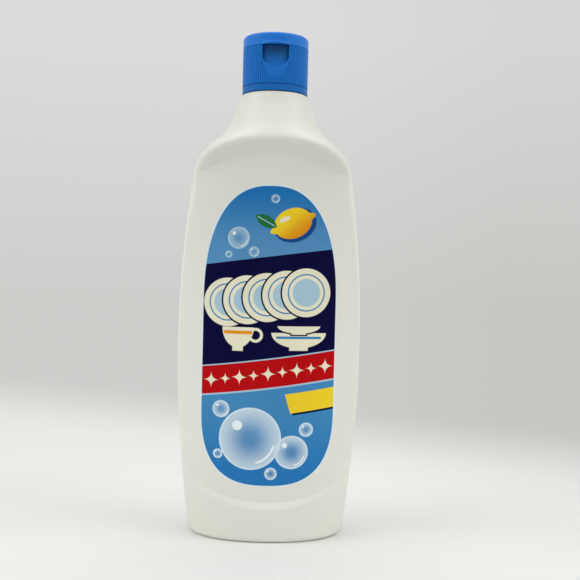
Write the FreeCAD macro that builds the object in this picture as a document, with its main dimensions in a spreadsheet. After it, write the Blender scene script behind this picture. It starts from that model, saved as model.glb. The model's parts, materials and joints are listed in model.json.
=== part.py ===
import FreeCAD, Part
import math
import os
import Sketcher
from FreeCAD import Vector

# Squeeze bottle of dishwasher gel with a flip-top screw cap.
# Origin: centre of the standing plane. +Z up, the labelled front faces -Y. Millimetres.

doc = FreeCAD.newDocument("GelBottle")

# ---------------------------------------------------------------- sizes
SIZES = [
    ("foot_width", 67.6, "bottle across the sides where the wall meets the floor, before rounding"),
    ("foot_depth", 46.4, "bottle front to back at the foot"),
    ("foot_round", 2.4, "radius round the foot edge"),
    ("foot_ring", 6.0, "width of the standing ring with the foot edge"),
    ("pushup", 2.6, "rise of the concave base inside the ring"),
    ("toe_height", 3.0, "first section over the foot"),
    ("toe_width", 68.3, "width there"),
    ("toe_depth", 46.7, "depth there"),
    ("boot_height", 41.0, "section over the boot"),
    ("boot_width", 76.5, "width there"),
    ("boot_depth", 48.6, "depth there"),
    ("body_height", 83.0, "height of the widest section"),
    ("body_width", 79.7, "widest section"),
    ("body_depth", 49.0, "deepest section"),
    ("waist_height", 100.5, "section over the widest"),
    ("waist_width", 79.0, "width there"),
    ("flank_height", 134.5, "section on the upper flank"),
    ("flank_width", 74.2, "width there"),
    ("shoulder_height", 154.5, "height where the shoulder starts to turn in"),
    ("shoulder_width", 69.2, "width there"),
    ("slope_height", 159.0, "first section on the shoulder slope"),
    ("slope_width", 66.9, "width there"),
    ("slope_depth", 49.0, "depth there"),
    ("ridge_height", 168.3, "section at the ridge over the label panel"),
    ("ridge_width", 53.2, "width there"),
    ("ridge_depth", 49.2, "depth there"),
    ("cone_height", 173.0, "lower section of the neck cone"),
    ("cone_width", 43.7, "width there"),
    ("cone_depth", 45.0, "depth there"),
    ("throat_height", 178.5, "middle section of the neck cone"),
    ("throat_width", 37.2, "width there"),
    ("throat_depth", 38.4, "depth there"),
    ("collar_height", 182.5, "upper section of the neck cone"),
    ("collar_width", 33.9, "width there"),
    ("collar_depth", 34.2, "depth there"),
    ("land_height", 190.0, "top of the shoulder, under the cap rim"),
    ("land_width", 27.8, "diameter there"),
    ("fullness", 0.68, "how square the oval sections are: 0.552 is an ellipse"),
    ("foot_full", 0.59, "the same at the foot"),
    ("shoulder_full", 0.74, "the same at the shoulder"),
    ("slope_full", 0.84, "the same on the shoulder slope"),
    ("ridge_full", 0.8, "the same at the ridge"),
    ("cone_full", 0.62, "the same at the foot of the neck cone"),
    ("wall", 0.9, "wall of the blown bottle"),
    ("floor_wall", 1.6, "wall of the base"),
    ("panel_radius", 61.0, "radius of the label panels"),
    ("panel_front", 21.5, "distance from the centre to the middle of a label panel"),
    ("panel_top", 164.4, "top of the panel at its middle"),
    ("panel_base", 16.6, "bottom of the panel at its middle"),
    ("arch_draft", 48.0, "slope of the step over the panel, degrees from the view direction"),
    ("smile_draft", 45.0, "slope of the step under the panel"),
    ("ridge_round", 2.8, "rounding of the step over the panel"),
    ("smile_round", 1.4, "rounding of the step under the panel"),
    ("fill_height", 172.0, "level of the gel"),
    ("gel_gap", 0.05, "clearance round the gel"),
    ("neck_width", 21.9, "neck outside, at the root of the thread"),
    ("neck_bore", 18.6, "neck inside"),
    ("neck_top", 207.2, "height of the pouring lip"),
    ("lip_round", 0.5, "rounding of the pouring lip"),
    ("label_width", 57.4, "label across"),
    ("label_top", 150.0, "top of the label"),
    ("label_crown", 50.0, "height of the arched top of the label"),
    ("crown_full", 0.67, "how square that arch is: 0.552 is an ellipse"),
    ("label_base", 23.2, "bottom of the label"),
    ("label_bowl", 34.0, "height of the round bottom of the label"),
    ("bowl_full", 0.74, "how square that bottom is"),
    ("label_film", 0.15, "thickness of the label"),
    ("seal_gap", 0.05, "clearance over and under the sealing disc"),
    ("liner_width", 22.6, "sealing disc across"),
    ("liner_hole", 8.0, "hole in the sealing disc"),
    ("liner_thick", 1.0, "sealing disc thickness"),
    ("cap_width", 28.4, "cap across"),
    ("cap_bore", 24.2, "inside of the cap skirt"),
    ("cap_clear", 0.4, "gap between the cap rim and the shoulder"),
    ("deck_thick", 1.4, "deck of the cap"),
    ("rim_height", 2.6, "plain rim at the bottom of the cap"),
    ("rim_line", 0.45, "groove over the plain rim, height"),
    ("rim_cut", 0.35, "groove over the plain rim, depth"),
    ("rib_depth", 0.28, "depth of the grip flutes"),
    ("rib_count", 90, "number of grip flutes"),
    ("rib_share", 0.9, "flute opening as a share of the flute pitch"),
    ("rim_round", 0.3, "rounding of the cap rim"),
    ("thumb_width", 11.2, "thumb recess across"),
    ("thumb_side", 5.0, "straight sides of the thumb recess"),
    ("thumb_bowl", 3.9, "round bottom of the thumb recess"),
    ("thumb_cut", 1.5, "depth of the thumb recess"),
    ("thumb_margin", 0.6, "smooth margin beside the thumb recess"),
    ("thumb_apron", 4.6, "smooth apron under the thumb recess"),
    ("orifice", 3.2, "pouring hole"),
    ("spout_width", 6.4, "collar round the pouring hole"),
    ("spout_rise", 1.2, "height of that collar over the deck"),
    ("plug_clear", 0.1, "clearance of the plug in the pouring hole"),
    ("plug_reach", 1.3, "how far the plug enters below the deck top"),
    ("plug_lead", 0.5, "lead-in chamfer at the tip of the plug"),
    ("lid_gap", 0.1, "gap between the lid and the cap"),
    ("lid_height", 5.2, "height of the lid"),
    ("lid_wall", 1.0, "side wall of the lid"),
    ("lid_roof", 1.2, "roof of the lid"),
    ("lid_round", 1.5, "rounding round the top of the lid"),
    ("tab_width", 11.6, "thumb tab across"),
    ("tab_reach", 1.2, "how far the tab stands out from the lid"),
    ("tab_height", 1.3, "height of the tab"),
    ("tab_round", 0.5, "rounding of the tab"),
    ("hinge_width", 9.0, "living hinge across"),
    ("hinge_offset", 0.3, "hinge line behind the cap"),
    ("hinge_gap", 0.05, "clearance of each hinge strap at the hinge line"),
    ("hinge_strap", 1.3, "height of each hinge strap"),
]

sheet = doc.addObject("Spreadsheet::Sheet", "Sizes")
S = {}
for row, (alias, value, note) in enumerate(SIZES, 1):
    sheet.set(f"A{row}", str(value))
    sheet.setAlias(f"A{row}", alias)
    sheet.set(f"B{row}", note)
    S[alias] = float(value)
doc.recompute()


# ---------------------------------------------------------------- helpers
def cell(name):
    return f"Sizes.{name}"


def new_body(name):
    body = doc.addObject("PartDesign::Body", name)
    body.Label = name
    return body


def new_sketch(body, name, role, offset=None):
    """A sketch on one of the body's origin planes, moved along the plane's normal by an expression."""
    sketch = body.newObject("Sketcher::SketchObject", name)
    plane = [f for f in body.Origin.OriginFeatures if f.Role == role][0]
    sketch.AttachmentSupport = [(plane, "")]
    sketch.MapMode = "FlatFace"
    if offset:
        sketch.setExpression("AttachmentOffset.Base.z", offset)
    return sketch


def name_last(sketch, name, expression):
    """Bind the newest constraint of a sketch to the sheet."""
    index = sketch.ConstraintCount - 1
    sketch.renameConstraint(index, name)
    sketch.setExpression(f"Constraints.{name}", expression)


def place_x(sketch, geometry, end, value, name, expression):
    sketch.addConstraint(Sketcher.Constraint("DistanceX", -1, 1, geometry, end, value))
    name_last(sketch, name, expression)


def place_y(sketch, geometry, end, value, name, expression):
    sketch.addConstraint(Sketcher.Constraint("DistanceY", -1, 1, geometry, end, value))
    name_last(sketch, name, expression)


def polygon(sketch, corners, prefix):
    """Closed outline of straight lines. Each corner is (x, x expression, y, y expression)."""
    lines = []
    for i, corner in enumerate(corners):
        after = corners[(i + 1) % len(corners)]
        start = Vector(corner[0], corner[2], 0)
        end = Vector(after[0], after[2], 0)
        lines.append(sketch.addGeometry(Part.LineSegment(start, end), False))
    for i, line in enumerate(lines):
        after = lines[(i + 1) % len(lines)]
        sketch.addConstraint(Sketcher.Constraint("Coincident", line, 2, after, 1))
    for i, (x, x_expr, y, y_expr) in enumerate(corners):
        if x_expr is None:
            sketch.addConstraint(Sketcher.Constraint("PointOnObject", lines[i], 1, -2))
        else:
            place_x(sketch, lines[i], 1, x, f"{prefix}x{i}", x_expr)
        if y_expr is None:
            sketch.addConstraint(Sketcher.Constraint("PointOnObject", lines[i], 1, -1))
        else:
            place_y(sketch, lines[i], 1, y, f"{prefix}y{i}", y_expr)
    return lines


def circle(sketch, radius, expression, name="radius"):
    """Circle about the sketch origin, its diameter bound to the sheet."""
    ring = sketch.addGeometry(Part.Circle(Vector(0, 0, 0), Vector(0, 0, 1), radius), False)
    sketch.addConstraint(Sketcher.Constraint("Coincident", ring, 3, -1, 1))
    sketch.addConstraint(Sketcher.Constraint("Diameter", ring, 2 * radius))
    name_last(sketch, name, expression)
    return ring


def bind_poles(sketch, edge, poles, texts, prefix):
    """Hold the poles of a cubic by the sheet. Text None keeps a pole on the axis."""
    handles = []
    for j, (x, y) in enumerate(poles):
        handle = sketch.addGeometry(Part.Circle(Vector(x, y, 0), Vector(0, 0, 1), 0.5), True)
        if handles:
            sketch.addConstraint(Sketcher.Constraint("Equal", handles[0], handle))
        else:
            sketch.addConstraint(Sketcher.Constraint("Weight", handle, 1.0))
        link = "InternalAlignment:Sketcher::BSplineControlPoint"
        sketch.addConstraint(Sketcher.Constraint(link, handle, 3, edge, j))
        handles.append(handle)
        if texts[j][0] is None:
            sketch.addConstraint(Sketcher.Constraint("PointOnObject", handle, 3, -2))
        else:
            place_x(sketch, handle, 3, x, f"{prefix}{j}x", texts[j][0])
        if texts[j][1] is None:
            sketch.addConstraint(Sketcher.Constraint("PointOnObject", handle, 3, -1))
        else:
            place_y(sketch, handle, 3, y, f"{prefix}{j}y", texts[j][1])


def cubic(sketch, poles, texts, prefix):
    """One cubic curve whose poles are bound to the sheet."""
    curve = Part.BSplineCurve()
    curve.buildFromPolesMultsKnots([Vector(x, y, 0) for x, y in poles], [4, 4], [0, 1], False, 3)
    edge = sketch.addGeometry(curve, False)
    bind_poles(sketch, edge, poles, texts, prefix)
    return edge


def oval(sketch, width, width_expr, depth, depth_expr, full, full_expr):
    """Squared oval of four cubic quarters. Its poles are bound to the sheet."""
    a = width / 2
    b = depth / 2
    half_x = f"({width_expr}) / 2"
    half_y = f"({depth_expr}) / 2"
    quarters = (
        ((1, 0), (1, full), (full, 1), (0, 1)),
        ((0, 1), (-full, 1), (-1, full), (-1, 0)),
        ((-1, 0), (-1, -full), (-full, -1), (0, -1)),
        ((0, -1), (full, -1), (1, -full), (1, 0)),
    )

    def share_text(share, half_side):
        if share == 0:
            return None
        sign = "-" if share < 0 else ""
        factor = "" if abs(share) == 1 else f" * {full_expr}"
        return f"{sign}{half_side}{factor}"

    for q, quarter in enumerate(quarters):
        poles = [(a * px, b * py) for px, py in quarter]
        texts = [(share_text(px, half_x), share_text(py, half_y)) for px, py in quarter]
        cubic(sketch, poles, texts, f"q{q}")


def find_edges(shape, test):
    """Numbers of the edges whose bounding box passes a test."""
    return [i for i, edge in enumerate(shape.Edges, 1) if test(edge, edge.BoundBox)]


def round_edges(body, name, base, edges, expression):
    """Round numbered edges of a feature by a size from the sheet."""
    feature = body.newObject("PartDesign::Fillet", name)
    feature.Base = (base, [f"Edge{i}" for i in edges])
    feature.setExpression("Radius", expression)
    body.Tip = feature
    doc.recompute()
    return feature


# ---------------------------------------------------------------- blown bottle
ROUND = 0.5523

# Sections from the foot to the top of the shoulder: height, width, depth and fullness.
STATIONS = [
    (None, "foot_width", "foot_depth", "foot_full"),
    ("toe_height", "toe_width", "toe_depth", "foot_full"),
    ("boot_height", "boot_width", "boot_depth", "fullness"),
    ("body_height", "body_width", "body_depth", "fullness"),
    ("waist_height", "waist_width", "body_depth", "fullness"),
    ("flank_height", "flank_width", "body_depth", "fullness"),
    ("shoulder_height", "shoulder_width", "body_depth", "shoulder_full"),
    ("slope_height", "slope_width", "slope_depth", "slope_full"),
    ("ridge_height", "ridge_width", "ridge_depth", "ridge_full"),
    ("cone_height", "cone_width", "cone_depth", "cone_full"),
    ("throat_height", "throat_width", "throat_depth", None),
    ("collar_height", "collar_width", "collar_depth", None),
    ("land_height", "land_width", "land_width", None),
]


def blown_form(name, inset, inset_expr):
    """Lofted bottle form. With an inset it is a cavity, smaller all round."""
    body = new_body(name)
    rings = []
    for i, (height, width, depth, full) in enumerate(STATIONS):
        z_expr = cell(height) if height else "0"
        if inset and i == len(STATIONS) - 1:
            z_expr = f"{cell(height)} - ({inset_expr})"
        sketch = new_sketch(body, f"{name}_section_{i}", "XY_Plane", z_expr)
        less_expr = f" - 2 * ({inset_expr})" if inset else ""
        share = S[full] if full else ROUND
        share_expr = cell(full) if full else str(ROUND)
        oval(sketch, S[width] - 2 * inset, cell(width) + less_expr, S[depth] - 2 * inset,
             cell(depth) + less_expr, share, share_expr)
        rings.append(sketch)
    doc.recompute()
    loft = body.newObject("PartDesign::AdditiveLoft", f"{name}_loft")
    loft.Profile = rings[0]
    loft.Sections = rings[1:]
    body.Tip = loft
    doc.recompute()
    return body


def panel_cutter(name, side, inset, inset_expr):
    """What the mould leaves out over a label panel: a bar with sloped ends, hollowed by the panel radius."""
    body = new_body(name)
    front = S["panel_front"] - inset
    front_expr = f"{cell('panel_front')} - ({inset_expr})"
    reach = S["body_depth"]
    sign = "-" if side < 0 else ""
    # The sloped ends keep the inset between the two forms, measured square to the slope.
    ends = {}
    for end, draft, way in (("panel_base", "smile_draft", -1), ("panel_top", "arch_draft", 1)):
        angle = math.radians(S[draft])
        turn = f"({cell(draft)} * 1deg)"
        shift = way * inset * (1 - math.sin(angle)) / math.cos(angle)
        shift_expr = f"({way}) * ({inset_expr}) * (1 - sin{turn}) / cos{turn}"
        level = S[end] + shift
        level_expr = f"{cell(end)} + {shift_expr}"
        ends[way] = (level, level_expr, way * math.tan(angle), f"({way}) * tan{turn}")
    corners = []
    for out, way in ((0, -1), (1, -1), (1, 1), (0, 1)):
        level, level_expr, slope, slope_expr = ends[way]
        beyond = out * reach - front
        beyond_expr = f"({out} * {cell('body_depth')} - ({front_expr}))"
        x_expr = f"{sign}{cell('body_depth')}" if out else None
        corners.append((side * out * reach, x_expr, level + beyond * slope,
                        f"{level_expr} + {beyond_expr} * {slope_expr}"))
    profile = new_sketch(body, f"{name}_profile", "YZ_Plane", f"-{cell('body_width')}")
    polygon(profile, corners, "p")
    doc.recompute()
    bar = body.newObject("PartDesign::Pad", f"{name}_bar")
    bar.Profile = profile
    bar.setExpression("Length", f"2 * {cell('body_width')}")
    doc.recompute()
    radius = S["panel_radius"] - inset
    radius_expr = f"{cell('panel_radius')} - ({inset_expr})"
    hollow = new_sketch(body, f"{name}_hollow", "XY_Plane")
    centre = side * (front - radius)
    ring = hollow.addGeometry(Part.Circle(Vector(0, centre, 0), Vector(0, 0, 1), radius), False)
    hollow.addConstraint(Sketcher.Constraint("PointOnObject", ring, 3, -2))
    hollow.addConstraint(Sketcher.Constraint("Radius", ring, radius))
    name_last(hollow, "radius", radius_expr)
    place_y(hollow, ring, 3, centre, "centre", f"{sign}(({front_expr}) - ({radius_expr}))")
    doc.recompute()
    pocket = body.newObject("PartDesign::Pocket", f"{name}_panel")
    pocket.Profile = hollow
    pocket.Type = "ThroughAll"
    pocket.Midplane = True
    body.Tip = pocket
    doc.recompute()
    return body


def cut_bodies(body, name, tools):
    """Cut whole bodies out of a body."""
    feature = body.newObject("PartDesign::Boolean", name)
    feature.Type = "Cut"
    feature.setObjects(tools)
    body.Tip = feature
    doc.recompute()
    return feature


def base_dome(name, grow, grow_expr):
    """Concave base: an oval dome under the standing ring, raised by the base wall inside."""
    body = new_body(name)
    width_expr = f"{cell('foot_width')} - 2 * {cell('foot_ring')}"
    depth_expr = f"{cell('foot_depth')} - 2 * {cell('foot_ring')}"
    width = S["foot_width"] - 2 * S["foot_ring"]
    depth = S["foot_depth"] - 2 * S["foot_ring"]
    rise = S["pushup"] + grow
    sections = []
    for i, (share, spread) in enumerate(((0, 1), (1, -1))):
        z_expr = f"{share} * ({cell('pushup')} + ({grow_expr}))"
        sketch = new_sketch(body, f"{name}_section_{i}", "XY_Plane", z_expr)
        change = 2 * grow if spread > 0 else -2 * rise
        change_expr = f"2 * ({grow_expr})" if spread > 0 else f"-2 * ({cell('pushup')} + ({grow_expr}))"
        oval(sketch, width + change, f"{width_expr} + {change_expr}", depth + change,
             f"{depth_expr} + {change_expr}", S["fullness"], cell("fullness"))
        sections.append(sketch)
    doc.recompute()
    loft = body.newObject("PartDesign::AdditiveLoft", f"{name}_loft")
    loft.Profile = sections[0]
    loft.Sections = sections[1:]
    body.Tip = loft
    doc.recompute()
    return body


def level_cut(body, name, height_expr, upward):
    """Cut a body off at a level, above it or below it."""
    sketch = new_sketch(body, f"{name}_sheet", "XY_Plane", height_expr)
    circle(sketch, S["body_width"], f"2 * {cell('body_width')}")
    doc.recompute()
    feature = body.newObject("PartDesign::Pocket", name)
    feature.Profile = sketch
    feature.Type = "ThroughAll"
    feature.Reversed = upward
    body.Tip = feature
    before = feature.BaseFeature.Shape.Volume
    doc.recompute()
    if not feature.Shape.Volume < before:
        raise RuntimeError(f"{name} cuts nothing")
    return feature


def outer_step(edge, box):
    """The outer edge of a panel step: long, clear of the foot and the cap, and not on the panel."""
    across = box.XLength > S["foot_depth"] / 2 and box.YLength > S["ridge_round"]
    clear = box.ZMin > S["foot_round"] and box.ZMax < S["land_height"] - S["ridge_round"]
    low = box.ZLength < (S["panel_top"] - S["panel_base"]) / 2
    return across and clear and low and edge.Curve.TypeId != "Part::GeomEllipse"


def round_steps(body, name, panels, inset, inset_expr):
    """Round the outer edges of the steps over and under the panels, less by the inset inside."""
    middle = (S["panel_top"] + S["panel_base"]) / 2
    upper = find_edges(panels.Shape, lambda edge, box: outer_step(edge, box) and box.ZMin > middle)
    ridge_expr = f"{cell('ridge_round')} - ({inset_expr})"
    ridge = round_edges(body, f"{name}_ridge", panels, upper, ridge_expr)
    lower = find_edges(ridge.Shape, lambda edge, box: outer_step(edge, box) and box.ZMax < middle)
    smile_expr = f"{cell('smile_round')} - ({inset_expr})"
    return round_edges(body, f"{name}_smile", ridge, lower, smile_expr)


def hollow_form(name, inset, inset_expr):
    """Inside of the bottle below the neck, smaller than the outside by the inset."""
    body = blown_form(name, inset, inset_expr)
    cutters = [panel_cutter(f"{name}_front_cutter", -1, inset, inset_expr),
               panel_cutter(f"{name}_back_cutter", 1, inset, inset_expr)]
    panels = cut_bodies(body, f"{name}_panels", cutters)
    round_steps(body, name, panels, inset, inset_expr)
    grow = inset + S["floor_wall"] - S["wall"]
    grow_expr = f"({inset_expr}) + {cell('floor_wall')} - {cell('wall')}"
    level_cut(body, f"{name}_floor", grow_expr, False)
    cut_bodies(body, f"{name}_base", [base_dome(f"{name}_dome", grow, grow_expr)])
    return body


# ---------------------------------------------------------------- bottle
bottle = blown_form("bottle", 0, "0")
neck_circle = new_sketch(bottle, "neck_circle", "XY_Plane", cell("land_height"))
circle(neck_circle, S["neck_width"] / 2, cell("neck_width"))
doc.recompute()
neck = bottle.newObject("PartDesign::Pad", "neck")
neck.Profile = neck_circle
neck.setExpression("Length", f"{cell('neck_top')} - {cell('land_height')}")
bottle.Tip = neck
doc.recompute()
panels = cut_bodies(bottle, "panels", [panel_cutter("front_cutter", -1, 0, "0"),
                                       panel_cutter("back_cutter", 1, 0, "0")])

smile = round_steps(bottle, "bottle", panels, 0, "0")
foot_edges = find_edges(smile.Shape, lambda edge, box: box.ZMax < 0.01)
foot = round_edges(bottle, "foot", smile, foot_edges, cell("foot_round"))
lip_edges = find_edges(foot.Shape, lambda edge, box: box.ZMin > S["neck_top"] - 0.01)
lip = round_edges(bottle, "lip", foot, lip_edges, cell("lip_round"))
cut_bodies(bottle, "pushup", [base_dome("pushup_dome", 0, "0")])
cavity = hollow_form("cavity", S["wall"], cell("wall"))
cut_bodies(bottle, "blown_inside", [cavity])
bore_circle = new_sketch(bottle, "bore_circle", "XY_Plane", cell("neck_top"))
circle(bore_circle, S["neck_bore"] / 2, cell("neck_bore"))
doc.recompute()
bore = bottle.newObject("PartDesign::Pocket", "bore")
bore.Profile = bore_circle
bore.setExpression("Length", f"{cell('neck_top')} - {cell('land_height')} + 2 * {cell('wall')}")
bottle.Tip = bore
doc.recompute()

# ---------------------------------------------------------------- gel
gel_inset = S["wall"] + S["gel_gap"]
gel = hollow_form("gel", gel_inset, f"{cell('wall')} + {cell('gel_gap')}")
level_cut(gel, "gel_level", cell("fill_height"), True)

# ---------------------------------------------------------------- front label
# A film bent round the panel, cut to an outline with an oval crown and a round bowl.
label = new_body("front_label")
strip = new_sketch(label, "strip", "XY_Plane", cell("label_base"))
inner_radius = S["panel_radius"]
outer_radius = S["panel_radius"] + S["label_film"]
axis_y = S["panel_radius"] - S["panel_front"]
half_label = S["label_width"] / 2
ends = []
for radius in (inner_radius, outer_radius):
    spread = math.asin(half_label / radius)
    start = 1.5 * math.pi - spread
    stop = 1.5 * math.pi + spread
    arc = Part.ArcOfCircle(Part.Circle(Vector(0, axis_y, 0), Vector(0, 0, 1), radius), start, stop)
    ends.append(strip.addGeometry(arc, False))
inner_arc, outer_arc = ends
sides = []
for x in (-half_label, half_label):
    low = Vector(x, axis_y - math.sqrt(inner_radius ** 2 - x ** 2), 0)
    high = Vector(x, axis_y - math.sqrt(outer_radius ** 2 - x ** 2), 0)
    sides.append(strip.addGeometry(Part.LineSegment(low, high), False))
for end, side in ((1, sides[0]), (2, sides[1])):
    strip.addConstraint(Sketcher.Constraint("Coincident", inner_arc, end, side, 1))
    strip.addConstraint(Sketcher.Constraint("Coincident", outer_arc, end, side, 2))
    strip.addConstraint(Sketcher.Constraint("Vertical", side))
strip.addConstraint(Sketcher.Constraint("PointOnObject", inner_arc, 3, -2))
strip.addConstraint(Sketcher.Constraint("Coincident", inner_arc, 3, outer_arc, 3))
place_y(strip, inner_arc, 3, axis_y, "axis", f"{cell('panel_radius')} - {cell('panel_front')}")
strip.addConstraint(Sketcher.Constraint("Radius", inner_arc, inner_radius))
name_last(strip, "inner", cell("panel_radius"))
strip.addConstraint(Sketcher.Constraint("Radius", outer_arc, outer_radius))
name_last(strip, "outer", f"{cell('panel_radius')} + {cell('label_film')}")
strip.addConstraint(Sketcher.Constraint("Symmetric", inner_arc, 1, inner_arc, 2, -2))
place_x(strip, inner_arc, 2, half_label, "half", f"{cell('label_width')} / 2")
doc.recompute()
film = label.newObject("PartDesign::Pad", "film")
film.Profile = strip
film.setExpression("Length", f"{cell('label_top')} - {cell('label_base')}")
doc.recompute()

outline = new_sketch(label, "outline", "XZ_Plane")
crown_level = S["label_top"] - S["label_crown"]
bowl_level = S["label_base"] + S["label_bowl"]
crown_text = f"{cell('label_top')} - {cell('label_crown')}"
bowl_text = f"{cell('label_base')} + {cell('label_bowl')}"


def half_oval(sketch, wide, wide_text, level, level_text, rise, rise_text, full, full_text, name):
    """Half an oval over a level, or under it with a negative rise, as two cubic quarters."""
    for side in (1, -1):
        sign = "-" if side < 0 else ""
        poles = [(side * wide, level), (side * wide, level + full * rise),
                 (side * full * wide, level + rise), (0, level + rise)]
        texts = [(f"{sign}({wide_text})", level_text),
                 (f"{sign}({wide_text})", f"{level_text} + {full_text} * ({rise_text})"),
                 (f"{sign}{full_text} * ({wide_text})", f"{level_text} + ({rise_text})"),
                 (None, f"{level_text} + ({rise_text})")]
        cubic(sketch, poles, texts, f"{name}{'a' if side > 0 else 'b'}")


wide_text = f"{cell('label_width')} / 2"
half_oval(outline, half_label, wide_text, crown_level, crown_text, S["label_crown"], cell("label_crown"),
          S["crown_full"], cell("crown_full"), "crown")
half_oval(outline, half_label, wide_text, bowl_level, bowl_text, -S["label_bowl"], f"-{cell('label_bowl')}",
          S["bowl_full"], cell("bowl_full"), "bowl")
for sign, text in ((1, ""), (-1, "-")):
    line = outline.addGeometry(Part.LineSegment(Vector(sign * half_label, bowl_level, 0),
                                                Vector(sign * half_label, crown_level, 0)), False)
    for end, level, level_text in ((1, bowl_level, bowl_text), (2, crown_level, crown_text)):
        place_x(outline, line, end, sign * half_label, f"side{'a' if sign > 0 else 'b'}{end}x",
                f"{text}{cell('label_width')} / 2")
        place_y(outline, line, end, level, f"side{'a' if sign > 0 else 'b'}{end}y", level_text)
margin = 2 * S["label_width"]
margin_text = f"2 * {cell('label_width')}"
polygon(outline, [(-margin, f"-{margin_text}", -margin, f"-{margin_text}"),
                  (margin, margin_text, -margin, f"-{margin_text}"),
                  (margin, margin_text, 2 * S["label_top"], f"2 * {cell('label_top')}"),
                  (-margin, f"-{margin_text}", 2 * S["label_top"], f"2 * {cell('label_top')}")], "f")
doc.recompute()
trim = label.newObject("PartDesign::Pocket", "trim")
trim.Profile = outline
trim.Type = "ThroughAll"
trim.Midplane = True
label.Tip = trim
doc.recompute()

# ---------------------------------------------------------------- levels of the closure
liner_base = S["neck_top"] + S["seal_gap"]
liner_base_text = f"{cell('neck_top')} + {cell('seal_gap')}"
deck_base = liner_base + S["liner_thick"] + S["seal_gap"]
deck_base_text = f"{liner_base_text} + {cell('liner_thick')} + {cell('seal_gap')}"
deck_top = deck_base + S["deck_thick"]
deck_top_text = f"{deck_base_text} + {cell('deck_thick')}"
rim_base = S["land_height"] + S["cap_clear"]
rim_base_text = f"{cell('land_height')} + {cell('cap_clear')}"
lid_base = deck_top + S["lid_gap"]
lid_base_text = f"{deck_top_text} + {cell('lid_gap')}"


def turned(name, corners):
    """A body turned about the bottle axis from a half profile of (radius, text, height, text)."""
    body = new_body(name)
    profile = new_sketch(body, f"{name}_profile", "XZ_Plane")
    polygon(profile, corners, "p")
    doc.recompute()
    feature = body.newObject("PartDesign::Revolution", f"{name}_turned")
    feature.Profile = profile
    feature.ReferenceAxis = (profile, ["V_Axis"])
    feature.Angle = 360
    body.Tip = feature
    doc.recompute()
    return body


def half(name):
    return f"{cell(name)} / 2"


# ---------------------------------------------------------------- sealing disc
liner = turned("cap_liner", [
    (S["liner_hole"] / 2, half("liner_hole"), liner_base, liner_base_text),
    (S["liner_width"] / 2, half("liner_width"), liner_base, liner_base_text),
    (S["liner_width"] / 2, half("liner_width"), liner_base + S["liner_thick"],
     f"{liner_base_text} + {cell('liner_thick')}"),
    (S["liner_hole"] / 2, half("liner_hole"), liner_base + S["liner_thick"],
     f"{liner_base_text} + {cell('liner_thick')}"),
])

# ---------------------------------------------------------------- screw cap
cap_r = S["cap_width"] / 2
line_base = rim_base + S["rim_height"]
line_base_text = f"{rim_base_text} + {cell('rim_height')}"
line_top = line_base + S["rim_line"]
line_top_text = f"{line_base_text} + {cell('rim_line')}"
groove_text = f"{half('cap_width')} - {cell('rim_cut')}"
spout_top = deck_top + S["spout_rise"]
spout_text = f"{deck_top_text} + {cell('spout_rise')}"
cap = turned("cap_base", [
    (S["cap_bore"] / 2, half("cap_bore"), rim_base, rim_base_text),
    (cap_r, half("cap_width"), rim_base, rim_base_text),
    (cap_r, half("cap_width"), line_base, line_base_text),
    (cap_r - S["rim_cut"], groove_text, line_base, line_base_text),
    (cap_r - S["rim_cut"], groove_text, line_top, line_top_text),
    (cap_r, half("cap_width"), line_top, line_top_text),
    (cap_r, half("cap_width"), deck_top, deck_top_text),
    (S["spout_width"] / 2, half("spout_width"), deck_top, deck_top_text),
    (S["spout_width"] / 2, half("spout_width"), spout_top, spout_text),
    (S["orifice"] / 2, half("orifice"), spout_top, spout_text),
    (S["orifice"] / 2, half("orifice"), deck_base, deck_base_text),
    (S["cap_bore"] / 2, half("cap_bore"), deck_base, deck_base_text),
])

outer_rim = (S["cap_bore"] + S["cap_width"]) / 2
rim_edges = find_edges(cap.Shape, lambda edge, box: box.ZMax < rim_base + 0.01 and box.XLength > outer_rim)
round_edges(cap, "rim_edge", cap.Tip, rim_edges, cell("rim_round"))

# Grip flutes: one V cut from the groove to the deck, repeated round the skirt.
flute = new_sketch(cap, "flute", "XY_Plane", line_top_text)
beyond = cap_r + S["rib_depth"]
flute_half = math.pi * cap_r / S["rib_count"] * S["rib_share"]
flute_text = f"pi * {half('cap_width')} / {cell('rib_count')} * {cell('rib_share')}"
polygon(flute, [
    (cap_r - S["rib_depth"], f"{half('cap_width')} - {cell('rib_depth')}", 0, None),
    (beyond, f"{half('cap_width')} + {cell('rib_depth')}", -flute_half, f"-({flute_text})"),
    (beyond, f"{half('cap_width')} + {cell('rib_depth')}", flute_half, flute_text),
], "v")
doc.recompute()
flute_cut = cap.newObject("PartDesign::Pocket", "flute_cut")
flute_cut.Profile = flute
flute_cut.Type = "Length"
flute_cut.Reversed = True
flute_cut.setExpression("Length", f"{deck_top_text} - ({line_top_text}) + {cell('lid_gap')}")
cap.Tip = flute_cut
before = flute_cut.BaseFeature.Shape.Volume
doc.recompute()
if not flute_cut.Shape.Volume < before:
    raise RuntimeError("the grip flute cuts nothing")
flutes = cap.newObject("PartDesign::PolarPattern", "flutes")
flutes.Originals = [flute_cut]
flutes.Axis = (flute, ["N_Axis"])
flutes.Angle = 360
flutes.setExpression("Occurrences", cell("rib_count"))
cap.Tip = flutes
doc.recompute()


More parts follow.
